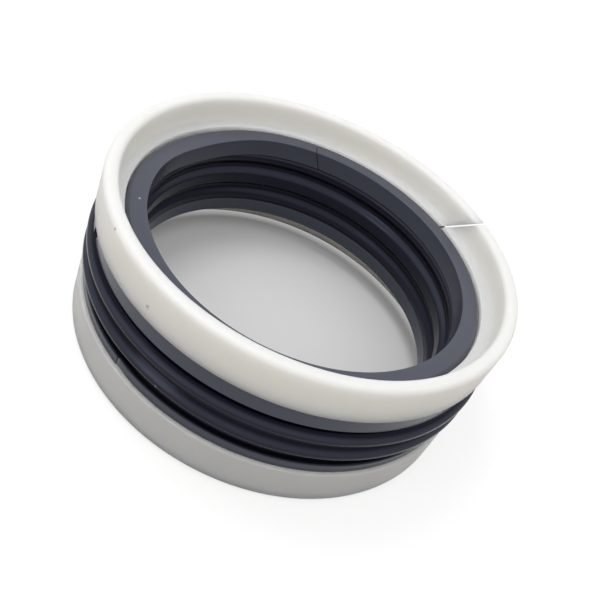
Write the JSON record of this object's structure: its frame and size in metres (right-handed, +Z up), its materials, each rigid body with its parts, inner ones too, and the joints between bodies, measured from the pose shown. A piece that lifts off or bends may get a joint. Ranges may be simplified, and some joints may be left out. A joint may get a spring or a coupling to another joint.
{
  "type": "piston seal",
  "caption": "Double-acting piston seal set: a ribbed rubber ring between split dark back-up rings and split white guide rings of L-shaped section.",
  "frame": {"origin": "centre of the bottom face, which is the rim of the lower guide ring", "axes": "+Z up along the ring axis; X and Y lie in the plane of the rim"},
  "size_m": [0.0908, 0.0908, 0.0351],
  "materials": {
    "guide_plastic": "smooth, slightly translucent",
    "backup_plastic": "satin moulded",
    "seal_rubber": "smooth moulded"
  },
  "bodies": {
    "root": {"lower_guide_ring": "guide_plastic", "lower_backup_ring": "backup_plastic", "sealing_element": "seal_rubber", "upper_backup_ring": "backup_plastic", "upper_guide_ring": "guide_plastic"}
  },
  "joints": []
}
